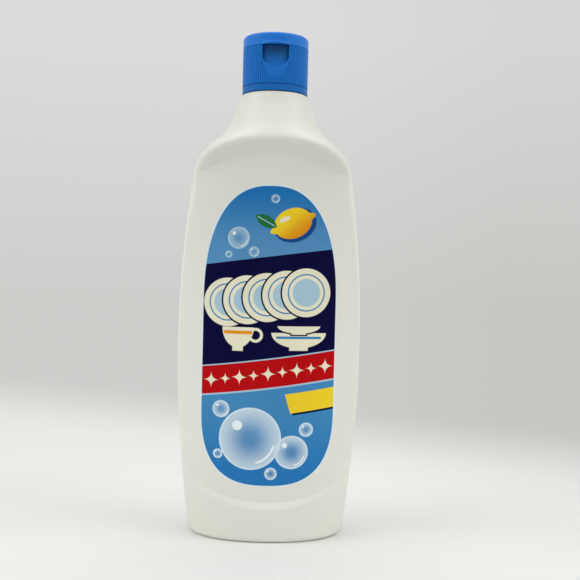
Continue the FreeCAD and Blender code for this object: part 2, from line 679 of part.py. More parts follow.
def thumb_cutter(name, spread, spread_text, below, below_text, depth, depth_text):
    """Round-bottomed front recess: an outline through the skirt, kept outside a floor radius."""
    body = new_body(name)
    sketch = new_sketch(body, f"{name}_outline", "XZ_Plane")
    wide = S["thumb_width"] / 2 + spread
    wide_text = f"{half('thumb_width')} + {spread_text}"
    corner = deck_top - S["thumb_side"]
    corner_text = f"{deck_top_text} - {cell('thumb_side')}"
    drop = S["thumb_bowl"] + below
    drop_text = f"{cell('thumb_bowl')} + {below_text}"
    high = deck_top + S["thumb_cut"]
    high_text = f"{deck_top_text} + {cell('thumb_cut')}"
    half_oval(sketch, wide, wide_text, corner, corner_text, -drop, f"-({drop_text})", ROUND, str(ROUND), "bowl")
    for i, (start, end) in enumerate((((wide, corner), (wide, high)), ((wide, high), (-wide, high)),
                                      ((-wide, high), (-wide, corner)))):
        line = sketch.addGeometry(Part.LineSegment(Vector(*start, 0), Vector(*end, 0)), False)
        for point, (x, y) in ((1, start), (2, end)):
            sign = "-" if x < 0 else ""
            place_x(sketch, line, point, x, f"line{i}{point}x", f"{sign}({wide_text})")
            place_y(sketch, line, point, y, f"line{i}{point}y", high_text if y == high else corner_text)
    doc.recompute()
    pad = body.newObject("PartDesign::Pad", f"{name}_pad")
    pad.Profile = sketch
    pad.setExpression("Length", cell("cap_width"))
    doc.recompute()
    if pad.Shape.BoundBox.YMin > -cap_r:
        pad.Reversed = True
        doc.recompute()
    floor = new_sketch(body, f"{name}_floor", "XY_Plane")
    circle(floor, cap_r - depth, f"{cell('cap_width')} - 2 * ({depth_text})")
    doc.recompute()
    pocket = body.newObject("PartDesign::Pocket", f"{name}_kept")
    pocket.Profile = floor
    pocket.Type = "ThroughAll"
    pocket.Midplane = True
    body.Tip = pocket
    doc.recompute()
    return body


thumb = thumb_cutter("thumb", 0, "0", 0, "0", S["thumb_cut"], cell("thumb_cut"))
apron = thumb_cutter("apron", S["thumb_margin"], cell("thumb_margin"), S["thumb_apron"], cell("thumb_apron"),
                     S["rib_depth"], cell("rib_depth"))
cut_bodies(cap, "thumb_recess", [apron, thumb])


def hinge_strap(body, name, level_text, height_text):
    """Thick end of the living hinge, on the back of the cap or of the lid."""
    wide = S["hinge_width"] / 2
    near = cap_r - S["lid_wall"] / 2
    far = cap_r + S["hinge_offset"] - S["hinge_gap"]
    near_text = f"{half('cap_width')} - {cell('lid_wall')} / 2"
    far_text = f"{half('cap_width')} + {cell('hinge_offset')} - {cell('hinge_gap')}"
    sketch = new_sketch(body, name + "_plan", "XY_Plane", level_text)
    polygon(sketch, [(-wide, f"-{half('hinge_width')}", near, near_text),
                     (wide, half("hinge_width"), near, near_text),
                     (wide, half("hinge_width"), far, far_text),
                     (-wide, f"-{half('hinge_width')}", far, far_text)], "s")
    doc.recompute()
    pad = body.newObject("PartDesign::Pad", name)
    pad.Profile = sketch
    pad.setExpression("Length", height_text)
    body.Tip = pad
    doc.recompute()


hinge_strap(cap, "cap_strap", f"{deck_top_text} - {cell('hinge_strap')}", cell("hinge_strap"))

# ---------------------------------------------------------------- flip lid
lid_top = lid_base + S["lid_height"]
lid_top_text = f"{lid_base_text} + {cell('lid_height')}"
roof = lid_top - S["lid_roof"]
roof_text = f"{lid_top_text} - {cell('lid_roof')}"
plug_r = S["orifice"] / 2 - S["plug_clear"]
plug_text = f"{half('orifice')} - {cell('plug_clear')}"
tip = deck_top - S["plug_reach"]
tip_text = f"{deck_top_text} - {cell('plug_reach')}"
lid = turned("flip_lid", [
    (0, None, tip, tip_text),
    (plug_r - S["plug_lead"], f"{plug_text} - {cell('plug_lead')}", tip, tip_text),
    (plug_r, plug_text, tip + S["plug_lead"], f"{tip_text} + {cell('plug_lead')}"),
    (plug_r, plug_text, roof, roof_text),
    (cap_r - S["lid_wall"], f"{half('cap_width')} - {cell('lid_wall')}", roof, roof_text),
    (cap_r - S["lid_wall"], f"{half('cap_width')} - {cell('lid_wall')}", lid_base, lid_base_text),
    (cap_r, half("cap_width"), lid_base, lid_base_text),
    (cap_r, half("cap_width"), lid_top, lid_top_text),
    (0, None, lid_top, lid_top_text),
])
brim_edges = find_edges(lid.Shape, lambda edge, box: box.ZMin > lid_top - 0.01 and box.XLength > cap_r)
round_edges(lid, "brim", lid.Tip, brim_edges, cell("lid_round"))

# Thumb tab: a crescent from inside the side wall out to the tab's reach.
crescent = new_sketch(lid, "crescent", "XY_Plane", lid_base_text)
tab_half = S["tab_width"] / 2
tab_half_text = half("tab_width")
root_r = cap_r - S["lid_wall"] / 2
root_text = f"{half('cap_width')} - {cell('lid_wall')} / 2"
chord = math.sqrt(cap_r ** 2 - tab_half ** 2)
chord_text = f"sqrt(({half('cap_width')})^2 - ({tab_half_text})^2)"
bulge = cap_r + S["tab_reach"] - chord
bulge_text = f"({half('cap_width')} + {cell('tab_reach')} - {chord_text})"
bow_r = (tab_half ** 2 + bulge ** 2) / (2 * bulge)
bow_text = f"(({tab_half_text})^2 + {bulge_text}^2) / (2 * {bulge_text})"
bow_y = bow_r - cap_r - S["tab_reach"]
bow_y_text = f"{bow_text} - {half('cap_width')} - {cell('tab_reach')}"
root_y = -math.sqrt(root_r ** 2 - tab_half ** 2)


def front_arc(sketch, radius, centre_y, wide):
    spread = math.asin(wide / radius)
    ring = Part.Circle(Vector(0, centre_y, 0), Vector(0, 0, 1), radius)
    return sketch.addGeometry(Part.ArcOfCircle(ring, 1.5 * math.pi - spread, 1.5 * math.pi + spread), False)


root_arc = front_arc(crescent, root_r, 0, tab_half)
bow_arc = front_arc(crescent, bow_r, bow_y, tab_half)
for end, sign, text in ((1, -1, "-"), (2, 1, "")):
    side = crescent.addGeometry(Part.LineSegment(Vector(sign * tab_half, root_y, 0),
                                                 Vector(sign * tab_half, -chord, 0)), False)
    crescent.addConstraint(Sketcher.Constraint("Coincident", root_arc, end, side, 1))
    crescent.addConstraint(Sketcher.Constraint("Coincident", bow_arc, end, side, 2))
    crescent.addConstraint(Sketcher.Constraint("Vertical", side))
    place_x(crescent, side, 2, sign * tab_half, f"side{end}", f"{text}{tab_half_text}")
crescent.addConstraint(Sketcher.Constraint("Coincident", root_arc, 3, -1, 1))
crescent.addConstraint(Sketcher.Constraint("Radius", root_arc, root_r))
name_last(crescent, "root", root_text)
crescent.addConstraint(Sketcher.Constraint("PointOnObject", bow_arc, 3, -2))
place_y(crescent, bow_arc, 3, bow_y, "bow_centre", bow_y_text)
crescent.addConstraint(Sketcher.Constraint("Radius", bow_arc, bow_r))
name_last(crescent, "bow", bow_text)
doc.recompute()
tab = lid.newObject("PartDesign::Pad", "tab")
tab.Profile = crescent
tab.setExpression("Length", cell("tab_height"))
lid.Tip = tab
doc.recompute()
tab_edges = find_edges(tab.Shape, lambda edge, box: box.YMin < -cap_r - S["tab_reach"] / 2
                       and box.ZMin > lid_base + S["tab_height"] / 2 and box.XLength > tab_half)
round_edges(lid, "tab_edge", tab, tab_edges, cell("tab_round"))
hinge_strap(lid, "lid_strap", lid_base_text, cell("hinge_strap"))

# ---------------------------------------------------------------- checks and export
PIECES = [bottle, gel, label, liner, cap, lid]
doc.recompute()
for item in doc.Objects:
    if "Invalid" in item.State or "Error" in item.State:
        raise RuntimeError(f"{item.Name} failed: {item.State}")
for piece in PIECES:
    if piece.Shape.isNull() or not piece.Shape.isValid() or len(piece.Shape.Solids) != 1:
        raise RuntimeError(f"{piece.Label} has no sound solid")
os.makedirs("parts", exist_ok=True)
for piece in PIECES:
    piece.Shape.exportStep(f"parts/{piece.Label}.step")
    print(piece.Label, round(piece.Shape.Volume), "mm3", len(piece.Shape.Faces), "faces")
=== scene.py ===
import json
import math

import bmesh
import bpy
from mathutils import Matrix, Vector
from mathutils.bvhtree import BVHTree


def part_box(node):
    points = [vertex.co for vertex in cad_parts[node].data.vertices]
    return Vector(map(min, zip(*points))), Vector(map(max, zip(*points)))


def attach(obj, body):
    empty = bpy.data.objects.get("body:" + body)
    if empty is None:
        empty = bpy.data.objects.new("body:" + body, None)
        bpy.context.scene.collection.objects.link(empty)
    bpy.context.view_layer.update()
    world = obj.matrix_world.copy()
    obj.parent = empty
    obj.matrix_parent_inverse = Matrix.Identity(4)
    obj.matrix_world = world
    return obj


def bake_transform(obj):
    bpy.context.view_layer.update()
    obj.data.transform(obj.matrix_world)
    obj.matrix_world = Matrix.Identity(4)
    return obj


# Looks of the dishwasher gel bottle. Metres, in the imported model's frame: the labelled front faces -Y.
# Materials work in millimetres of the same frame.
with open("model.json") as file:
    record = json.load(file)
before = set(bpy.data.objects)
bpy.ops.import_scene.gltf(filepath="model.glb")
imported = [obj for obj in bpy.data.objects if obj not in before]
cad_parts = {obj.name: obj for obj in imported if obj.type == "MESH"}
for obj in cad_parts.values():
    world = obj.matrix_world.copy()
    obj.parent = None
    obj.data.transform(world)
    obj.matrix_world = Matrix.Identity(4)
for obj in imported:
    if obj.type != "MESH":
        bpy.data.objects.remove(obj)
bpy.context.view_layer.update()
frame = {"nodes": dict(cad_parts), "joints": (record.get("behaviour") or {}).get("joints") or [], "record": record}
nodes = frame["nodes"]
joints = {joint["name"]: joint for joint in frame["joints"]}
MM = 0.001

# Sockets of a Mix node that mixes colours.
MIX_AMOUNT, MIX_FIRST, MIX_SECOND, MIX_RESULT = 0, 6, 7, 2


# ---------------------------------------------------------------- node helpers
class Field:
    """A number that varies over a surface. Arithmetic on it adds math nodes."""

    def __init__(self, finish, socket):
        self.finish = finish
        self.socket = socket

    def step(self, operation, *others, clamp=False):
        """The outcome of one math node, with this field as its first input."""
        node = self.finish.nodes.new("ShaderNodeMath")
        node.operation = operation
        node.use_clamp = clamp
        for i, value in enumerate((self, *others)):
            self.finish.put(node.inputs[i], value)
        return Field(self.finish, node.outputs[0])

    def __add__(self, other):
        return self.step("ADD", other)

    def __sub__(self, other):
        return self.step("SUBTRACT", other)

    def __mul__(self, other):
        return self.step("MULTIPLY", other)

    def __truediv__(self, other):
        return self.step("DIVIDE", other)

    def __neg__(self):
        return self.step("MULTIPLY", -1.0)

    def __abs__(self):
        return self.step("ABSOLUTE")

    def __pow__(self, other):
        return self.step("POWER", other)

    def root(self):
        return self.step("SQRT")

    def low(self, other):
        return self.step("MINIMUM", other)

    def high(self, other):
        return self.step("MAXIMUM", other)

    def inside(self, soft):
        """1 where the field is under zero and 0 over it, with an edge as wide as soft."""
        return self.step("MULTIPLY_ADD", -1.0 / soft, 0.5, clamp=True)

    def ramp(self, start, end):
        """0 at start, 1 at end and smooth between them."""
        node = self.finish.nodes.new("ShaderNodeMapRange")
        node.interpolation_type = "SMOOTHSTEP"
        self.finish.put(node.inputs["Value"], self)
        node.inputs["From Min"].default_value = start
        node.inputs["From Max"].default_value = end
        return Field(self.finish, node.outputs["Result"])


class Finish:
    """A material with the helpers that build its nodes. Its x, y and z are in millimetres."""

    def __init__(self, name):
        self.material = bpy.data.materials.new(name)
        self.material.use_nodes = True
        self.nodes = self.material.node_tree.nodes
        self.links = self.material.node_tree.links
        self.shader = self.nodes["Principled BSDF"]
        place = self.nodes.new("ShaderNodeTexCoord")
        self.place = place.outputs["Object"]
        split = self.nodes.new("ShaderNodeSeparateXYZ")
        self.links.new(self.place, split.inputs[0])
        self.x, self.y, self.z = (Field(self, split.outputs[i]) * (1 / MM) for i in range(3))

    def put(self, socket, value):
        """Link a node's output to a socket, or write a constant on it."""
        if isinstance(value, Field):
            value = value.socket
        if isinstance(value, bpy.types.NodeSocket):
            self.links.new(value, socket)
        else:
            socket.default_value = value

    def noise(self, scale, detail=2.0, stretch=(1, 1, 1)):
        """Soft noise from 0 to 1. The scale counts waves per metre, and stretch thins it along an axis."""
        turn = self.nodes.new("ShaderNodeMapping")
        turn.inputs["Scale"].default_value = stretch
        self.links.new(self.place, turn.inputs["Vector"])
        node = self.nodes.new("ShaderNodeTexNoise")
        node.inputs["Scale"].default_value = scale
        node.inputs["Detail"].default_value = detail
        self.links.new(turn.outputs["Vector"], node.inputs["Vector"])
        return Field(self, node.outputs["Fac"])

    def blend(self, amount, first, second):
        """Colour between the first and the second by an amount from 0 to 1."""
        node = self.nodes.new("ShaderNodeMix")
        node.data_type = "RGBA"
        self.put(node.inputs[MIX_AMOUNT], amount)
        self.put(node.inputs[MIX_FIRST], first)
        self.put(node.inputs[MIX_SECOND], second)
        return node.outputs[MIX_RESULT]

    def paint(self, under, ink, shape, soft=0.22):
        """Cover what is inside a shape, given as its signed distance in millimetres."""
        return self.blend(shape.inside(soft), under, ink)

    def relief(self, *layers, edge=0.0):
        """Bump from several heights, each a field and its depth, over edges softened by a radius."""
        normal = None
        if edge:
            soft = self.nodes.new("ShaderNodeBevel")
            soft.inputs["Radius"].default_value = edge
            normal = soft.outputs["Normal"]
        for field, depth in layers:
            node = self.nodes.new("ShaderNodeBump")
            node.inputs["Distance"].default_value = depth
            self.put(node.inputs["Height"], field)
            if normal:
                self.links.new(normal, node.inputs["Normal"])
            normal = node.outputs["Normal"]
        self.links.new(normal, self.shader.inputs["Normal"])

    def set(self, **values):
        """Set inputs of the shader, named in lower case with underscores."""
        for name, value in values.items():
            self.put(self.shader.inputs[name.replace("_", " ").title().replace("Ior", "IOR")], value)


def colour(red, green, blue):
    """A colour written in 0 to 255 display values, as the shader's linear numbers."""
    def linear(value):
        share = value / 255
        return share / 12.92 if share <= 0.04045 else ((share + 0.055) / 1.055) ** 2.4
    return (linear(red), linear(green), linear(blue), 1.0)


def wear(piece, material):
    """Give a piece one material."""
    piece.data.materials.clear()
    piece.data.materials.append(material)


# ---------------------------------------------------------------- shapes of the print
# Each shape is a signed distance in millimetres, under zero inside it.
def length(u, v):
    """Distance from the origin."""
    return (u * u + v * v).root()


def disc(u, v, centre, radius):
    """A disc about a centre."""
    return length(u - centre[0], v - centre[1]) - radius


def turned(u, v, centre, degrees):
    """Coordinates about a centre, turned anticlockwise."""
    cosine = math.cos(math.radians(degrees))
    sine = math.sin(math.radians(degrees))
    du = u - centre[0]
    dv = v - centre[1]
    return du * cosine + dv * sine, dv * cosine - du * sine


def oval(u, v, wide, high):
    """An oval about the origin. The distance is true only near its edge."""
    level = length(u / wide, v / high)
    slope = length(u / wide ** 2, v / high ** 2)
    return (level - 1.0) * level.high(0.1) / slope.high(0.0001)


def block(u, v, wide, high):
    """An upright rectangle about the origin, given by half its width and height."""
    return (abs(u) - wide).high(abs(v) - high)


def bowl_side(u, v, centre, wide, deep):
    """A bowl seen from the side: the lower half of an oval, on a short foot."""
    du = u - centre[0]
    dv = v - centre[1]
    hull = oval(du, dv, wide, deep).high(dv)
    foot = block(du, dv + deep, wide * 0.34, deep * 0.16)
    return hull.low(foot)


def sparkle(u, v, centre, reach):
    """Four-pointed glint."""
    du = abs(u - centre[0]).root()
    dv = abs(v - centre[1]).root()
    return (du + dv - math.sqrt(reach)) * math.sqrt(reach)


def round_end(u, w, half, reach, power):
    """A strip of a half width with a rounded end of a reach. Its straight sides end where w is 0."""
    level = ((abs(u) / half) ** power + (w.high(0.0) / reach) ** power) ** (1 / power)
    slope = length((abs(u) / half) ** (power - 1) / half, (w.high(0.0) / reach) ** (power - 1) / reach)
    return (level - 1.0) * level.high(0.1) ** (power - 1) / slope.high(0.00001)


# ---------------------------------------------------------------- label print
# On the label u is x and v is z.
LABEL_LOW, LABEL_HIGH = (Vector(corner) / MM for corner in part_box("front_label"))
CROWN_REACH, CROWN_POWER = 50.0, 2.42
BOWL_REACH, BOWL_POWER = 34.0, 2.75
BORDER = 0.7

NAVY = colour(5, 3, 56)
CREAM = colour(238, 235, 208)
RED = colour(188, 8, 12)
YELLOW = colour(246, 214, 44)
AMBER = colour(232, 150, 22)
PALE = colour(172, 205, 222)
SKY = colour(52, 132, 190)
DEEP = colour(22, 116, 184)
DUSK = colour(20, 74, 140)
FROTH = colour(212, 230, 240)
SHINE = colour(238, 246, 250)
LEAF = colour(34, 112, 62)
CROWN_LOW = colour(96, 152, 198)
BASE_LOW = colour(40, 122, 188)
BASE_HIGH = colour(70, 140, 192)
BORDER_WHITE = colour(228, 240, 244)

# The bands climb to the right. Each has a height, taken where u is 0, and a half width.
SLANT = 0.14
NAVY_BAND = (98.6, 21.4)
RED_BAND = (70.9, 6.0)
RED_LINES = ((77.1, 0.25), (64.7, 0.35))

# Bubbles: centre and radius.
CROWN_BUBBLES = (((-13.5, 127.5), 4.6), ((-7.0, 121.8), 2.2), ((-17.6, 120.6), 1.5), ((1.5, 144.0), 1.8))
FOAM_BUBBLES = (((-7.0, 43.5), 13.0), ((10.5, 38.0), 7.0), ((-19.5, 55.5), 3.6),
                ((16.5, 47.5), 3.0), ((2.0, 29.0), 2.6), ((-20.5, 36.5), 2.0))

# Motifs, with turns in degrees.
LEMON_PLACE, LEMON_TURN = (9.0, 134.0), 24
LEAF_PLACE, LEAF_TURN = (-2.2, 134.6), -28
LEAF_BOW, LEAF_R = 4.2, 6.6
PLATE_COUNT = 5
PLATE_R = 10.2
PLATE_LEFT, PLATE_LEVEL, PLATE_STEP = -17.5, 103.0, 8.2
BOWLS = (((12.5, 88.2), 11.5, 6.4), ((12.5, 91.0), 9.0, 3.0))
BOWL_STRIPE = (12.5, 86.2)
CUP_PLACE, CUP_WIDE, CUP_DEEP = (-13.0, 90.2), 6.6, 8.6
HANDLE_PLACE, HANDLE_R = (-5.6, 87.0), 2.5
CUP_STRIPE = (-13.0, 88.0)
GLINT_COUNT = 9
GLINT_LEFT, GLINT_STEP = -24.0, 6.0
GLINT_REACH = (3.6, 2.6)
FLAG_PLACE, FLAG_LEVEL, FLAG_LEAN = (21.5, 60.0), 57.2, 0.3
FLAG_WIDE, FLAG_HIGH = 13.5, 4.2


def slanted_row(left, level, step, count):
    """Centres side by side in a row that climbs with the bands."""
    return [(left + step * i, level + SLANT * (left + step * i)) for i in range(count)]


def fields(finish, u, v):
    """The slanted fields of colour. The label carries no lettering."""
    lift = v - u * SLANT
    crown = finish.blend(v.ramp(116.0, 152.0), CROWN_LOW, DEEP)
    dots = (u * 5.2).step("SINE") * (v * 5.2).step("SINE")
    crown = finish.blend(dots.inside(0.5) * v.ramp(134.0, 120.0) * 0.35, crown, SKY)
    base = finish.blend(v.ramp(26.0, 62.0), BASE_LOW, BASE_HIGH)
    art = finish.paint(base, crown, -(lift - NAVY_BAND[0]))
    bands = [(NAVY_BAND, NAVY), (RED_BAND, RED)] + [(line, PALE) for line in RED_LINES]
    for (level, half), ink in bands:
        art = finish.paint(art, ink, abs(lift - level) - half)
    return art


def lemon(finish, under, u, v):
    """A whole lemon with its shadow and one leaf."""
    lu, lv = turned(u, v, LEMON_PLACE, LEMON_TURN)
    fruit = oval(lu, lv, 8.2, 6.2).low(oval(lu, lv, 10.2, 2.4))
    under = finish.paint(under, DUSK, oval(lu - 0.6, lv + 1.0, 9.2, 6.9))
    peel = finish.blend((lv - lu * 0.3).ramp(-6.0, 4.0), AMBER, YELLOW)
    under = finish.paint(under, peel, fruit)
    under = finish.paint(under, CREAM, oval(lu + 2.6, lv - 2.8, 2.4, 1.0))
    nu, nv = turned(u, v, LEAF_PLACE, LEAF_TURN)
    blade = disc(nu, nv, (0.0, LEAF_BOW), LEAF_R).high(disc(nu, nv, (0.0, -LEAF_BOW), LEAF_R))
    under = finish.paint(under, LEAF, blade)
    return finish.paint(under, PALE, block(nu, nv, 4.2, 0.18))


def bubble(finish, under, u, v, centre, radius, tint):
    """A soap bubble: a pale rim that clears towards the middle, a glint and its echo."""
    gap = disc(u, v, centre, radius)
    haze = gap.inside(0.3) * (gap.ramp(-radius * 0.9, 0.0) * 0.7 + 0.12)
    filled = finish.blend(haze, under, tint)
    ringed = finish.paint(filled, tint, abs(gap + 0.3) - 0.2 - 0.015 * radius)
    glint = disc(u, v, (centre[0] - 0.42 * radius, centre[1] + 0.42 * radius), 0.16 * radius)
    echo = abs(gap + 0.2 * radius) - 0.035 * radius
    corner = echo.high(v - (centre[1] - 0.2 * radius)).high(-(u - (centre[0] + 0.2 * radius)))
    return finish.paint(finish.paint(ringed, SHINE, glint), SHINE, corner)


def plates(finish, under, u, v):
    """A row of plates stood on edge, each in front of the one before."""
    for centre in slanted_row(PLATE_LEFT, PLATE_LEVEL, PLATE_STEP, PLATE_COUNT):
        gap = disc(u, v, centre, PLATE_R)
        under = finish.paint(under, NAVY, gap - 0.7)
        under = finish.paint(under, CREAM, gap)
        under = finish.paint(under, SKY, abs(gap + 2.6) - 0.28)
        under = finish.paint(under, PALE, gap + 4.4)
    return under


def bowls(finish, under, u, v):
    """Two nested bowls and a cup, under the plates."""
    for centre, wide, deep in BOWLS:
        side = bowl_side(u, v, centre, wide, deep)
        under = finish.paint(under, NAVY, side - 0.6)
        under = finish.paint(under, CREAM, side)
    under = finish.paint(under, SKY, block(u - BOWL_STRIPE[0], v - BOWL_STRIPE[1], 9.4, 0.5))
    handle = abs(disc(u, v, HANDLE_PLACE, HANDLE_R)) - 0.6
    under = finish.paint(under, CREAM, handle)
    under = finish.paint(under, CREAM, bowl_side(u, v, CUP_PLACE, CUP_WIDE, CUP_DEEP))
    return finish.paint(under, AMBER, block(u - CUP_STRIPE[0], v - CUP_STRIPE[1], 5.9, 0.7))


def glints(finish, under, u, v):
    """Large and small glints by turns along the red band."""
    for i, centre in enumerate(slanted_row(GLINT_LEFT, RED_BAND[0], GLINT_STEP, GLINT_COUNT)):
        under = finish.paint(under, CREAM, sparkle(u, v, centre, GLINT_REACH[i % 2]))
    return under


def flag(finish, under, u, v):
    """A blank yellow flag with its shadow, which runs off the label's right edge."""
    fu = u - FLAG_PLACE[0] + (v - FLAG_PLACE[1]) * FLAG_LEAN
    fv = v - u * SLANT - FLAG_LEVEL
    under = finish.paint(under, NAVY, block(fu - 0.8, fv + 0.9, FLAG_WIDE, FLAG_HIGH))
    return finish.paint(under, YELLOW, block(fu, fv, FLAG_WIDE, FLAG_HIGH))


def label_outline(u, v):
    """The label's own edge: an oval crown, straight sides and a round bowl."""
    half = LABEL_HIGH[0]
    crown = round_end(u, v - (LABEL_HIGH[2] - CROWN_REACH), half, CROWN_REACH, CROWN_POWER)
    bowl = round_end(u, -(v - (LABEL_LOW[2] + BOWL_REACH)), half, BOWL_REACH, BOWL_POWER)
    return crown.high(bowl)


def label_material():
    """Printed film: the fields, kitchen motifs on them, and a pale border."""
    finish = Finish("label_print")
    u, v = finish.x, finish.z
    art = fields(finish, u, v)
    art = lemon(finish, art, u, v)
    for centre, radius in CROWN_BUBBLES:
        art = bubble(finish, art, u, v, centre, radius, PALE)
    art = plates(finish, art, u, v)
    art = bowls(finish, art, u, v)
    art = glints(finish, art, u, v)
    art = flag(finish, art, u, v)
    for centre, radius in FOAM_BUBBLES:
        art = bubble(finish, art, u, v, centre, radius, FROTH)
    art = finish.paint(art, BORDER_WHITE, -(label_outline(u, v) + BORDER))
    tone = finish.noise(55.0, 3.0)
    art = finish.blend(tone.ramp(0.35, 0.75) * 0.05, art, NAVY)
    finish.set(base_color=art, roughness=finish.noise(420.0) * 0.12 + 0.34, specular_ior_level=0.05)
    finish.relief((finish.noise(900.0, 1.0), 0.01 * MM), (finish.noise(60.0, 1.0), 0.08 * MM))
    return finish.material


# ---------------------------------------------------------------- plastics, foam and gel
# The deck lies under the spout, the cap's highest point. The plain rim ends the flutes. Both place the painted
# shade below.
CAP_LOW, CAP_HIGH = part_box("cap_base")
CAP_R = CAP_HIGH[0] / MM
DECK = CAP_HIGH[2] / MM - 1.25
RIM = CAP_LOW[2] / MM + 3.0

# Share of the skin's colour in the painted shade, where it is darkest.
SHADE = 0.6

# Each blue goes from its dark to its light tone. The cap's blues are a little darker than the lid's: painted shade
# for the shadows among the cap's flutes.
CAP_BLUE_SHADED = ((20, 113, 200), (28, 123, 212))
LID_BLUE = ((14, 118, 216), (24, 128, 226))


def bottle_material():
    """White blow-moulded polyethylene with a blasted skin, flow marks on the neck and a little tone."""
    finish = Finish("white_polyethylene")
    tone = finish.noise(28.0, 3.0)
    speck = finish.noise(1400.0, 1.0).ramp(0.62, 0.8)
    body = finish.blend(tone, colour(228, 229, 218), colour(234, 234, 225))
    body = finish.blend(speck * 0.12, body, colour(206, 206, 195))
    flow = finish.noise(420.0, 2.0, (0.05, 0.05, 1.0)) * finish.z.ramp(160.0, 172.0)
    finish.set(base_color=body, roughness=finish.noise(260.0) * 0.14 + 0.36)
    finish.relief((finish.noise(2200.0, 2.0), 0.03 * MM), (flow, 0.12 * MM),
                  (finish.noise(40.0, 2.0), 0.35 * MM))
    return finish.material


def cap_material(name, dark, light, gloss):
    """Satin injection-moulded plastic, with painted shade in the thumb recess and inside the cap, darkest towards
    the top under the lid, and a little painted shade on the rim.
    """
    finish = Finish(name)
    tone = finish.noise(160.0, 3.0, (1.0, 1.0, 0.25))
    skin = finish.blend(tone, colour(*dark), colour(*light))
    # The painted shade's colour: the skin's blues at a share.
    shade = finish.blend(tone, *(colour(*(SHADE * part for part in blue)) for blue in (dark, light)))
    # Painted shade where the surface lies inside the cap's outer wall below the deck: the thumb recess and the
    # cap's inside, darkest near the top under the lid and the tab.
    recess = length(finish.x, finish.y).ramp(CAP_R - 0.6, CAP_R - 1.3)
    recess = recess * finish.z.ramp(DECK - 9.0, DECK - 1.0) * (finish.z - DECK).inside(0.3)
    # A little painted shade on the plain rim.
    rim = (finish.z - RIM).inside(0.6) * 0.3
    finish.set(base_color=finish.blend(recess.high(rim), skin, shade),
               roughness=finish.noise(500.0) * 0.12 + 0.3, specular_ior_level=gloss)
    finish.relief((finish.noise(2600.0, 2.0), 0.02 * MM), (finish.noise(120.0, 1.0), 0.06 * MM),
                  edge=0.3 * MM)
    return finish.material


def foam_material():
    """Expanded foam of the sealing disc."""
    finish = Finish("seal_foam")
    cells = finish.noise(1800.0, 3.0)
    finish.set(base_color=finish.blend(cells, colour(214, 214, 208), colour(240, 240, 236)), roughness=0.85)
    finish.relief((cells, 0.12 * MM))
    return finish.material


def gel_material():
    """Thick yellow gel, glossy and a little cloudy."""
    finish = Finish("lemon_gel")
    cloud = finish.noise(90.0, 3.0)
    finish.set(base_color=finish.blend(cloud, colour(226, 206, 70), colour(240, 226, 120)),
               roughness=finish.noise(200.0) * 0.08 + 0.06)
    finish.relief((finish.noise(70.0, 1.0), 0.8 * MM))
    return finish.material


# ---------------------------------------------------------------- mesh helpers
def new_piece(name, mesh, body, material):
    """Wrap a bmesh as a smooth piece that rides on a body, if one is given."""
    data = bpy.data.meshes.new(name)
    bmesh.ops.recalc_face_normals(mesh, faces=mesh.faces[:])
    mesh.to_mesh(data)
    mesh.free()
    for face in data.polygons:
        face.use_smooth = True
    piece = bpy.data.objects.new(name, data)
    bpy.context.scene.collection.objects.link(piece)
    wear(piece, material)
    if body:
        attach(piece, body)
    return piece


def loft_rings(mesh, rings):
    """Skin a list of rings of points with quads, and close both ends."""
    loops = [[mesh.verts.new(point) for point in ring] for ring in rings]
    for near, far in zip(loops, loops[1:]):
        for i in range(len(near)):
            j = (i + 1) % len(near)
            mesh.faces.new((near[i], near[j], far[j], far[i]))
    mesh.faces.new(loops[0][::-1])
    mesh.faces.new(loops[-1])


# ---------------------------------------------------------------- threads
LIFT = next(c for c in frame["record"]["behaviour"]["couplings"] if c["joint"] == "cap_lift")
PITCH = LIFT["ratio"] * 2 * math.pi
NECK_R = 10.95 * MM
BORE_R = 12.1 * MM
NECK_THREAD_FOOT, NECK_THREAD_TURNS = 0.1962, 2.4
CAP_THREAD_FOOT, CAP_THREAD_TURNS = 0.1946 + PITCH / 2, 2.0
THREAD_REACH = 0.85 * MM
THREAD_SINK = 0.08 * MM
ROOT_HALF = 0.62 * MM
CREST_HALF = 0.28 * MM
RINGS_PER_TURN = 56

# A thread reaches its full height in one of this many parts of a turn.
TAPERS_PER_TURN = 6


def thread(name, wall, reach, foot, turns, body, material):
    """A helical ridge on a wall, out from it or into it by its reach, with tapered ends."""
    mesh = bmesh.new()
    count = int(turns * RINGS_PER_TURN)
    rings = []
    for i in range(count + 1):
        share = i / count
        angle = share * turns * 2 * math.pi
        level = foot + share * turns * PITCH
        grow = min(1.0, share * turns * TAPERS_PER_TURN, (1 - share) * turns * TAPERS_PER_TURN)
        grow = math.sin(grow * math.pi / 2)
        root = wall - math.copysign(THREAD_SINK, reach)
        crest = wall + reach * grow
        section = ((root, -ROOT_HALF), (crest, -CREST_HALF * grow),
                   (crest, CREST_HALF * grow), (root, ROOT_HALF))
        rings.append([Vector((r * math.cos(angle), r * math.sin(angle), level + h)) for r, h in section])
    loft_rings(mesh, rings)
    new_piece(name, mesh, body, material)


# ---------------------------------------------------------------- parting line
BOTTLE_MIDDLE = Vector((0, 0, 0.1))
SEAM_LOW, SEAM_HIGH, SEAM_STEPS = 0.003, 0.1895, 260
SEAM_WIDTH, SEAM_HEIGHT = 0.3 * MM, 0.1 * MM
PINCH_HALF, PINCH_STEPS = 27 * MM, 60
PINCH_WIDTH, PINCH_HEIGHT = 1.1 * MM, 0.35 * MM

# Shares of half the width and of the height. The outer points lie under the skin.
BEAD_SECTION = ((-1, -0.8), (-0.6, 0.6), (0, 1), (0.6, 0.6), (1, -0.8))


def skin_points(tree, origins, direction):
    """Where rays first meet the bottle."""
    hits = [tree.ray_cast(Vector(origin), Vector(direction))[0] for origin in origins]
    return [hit for hit in hits if hit is not None]


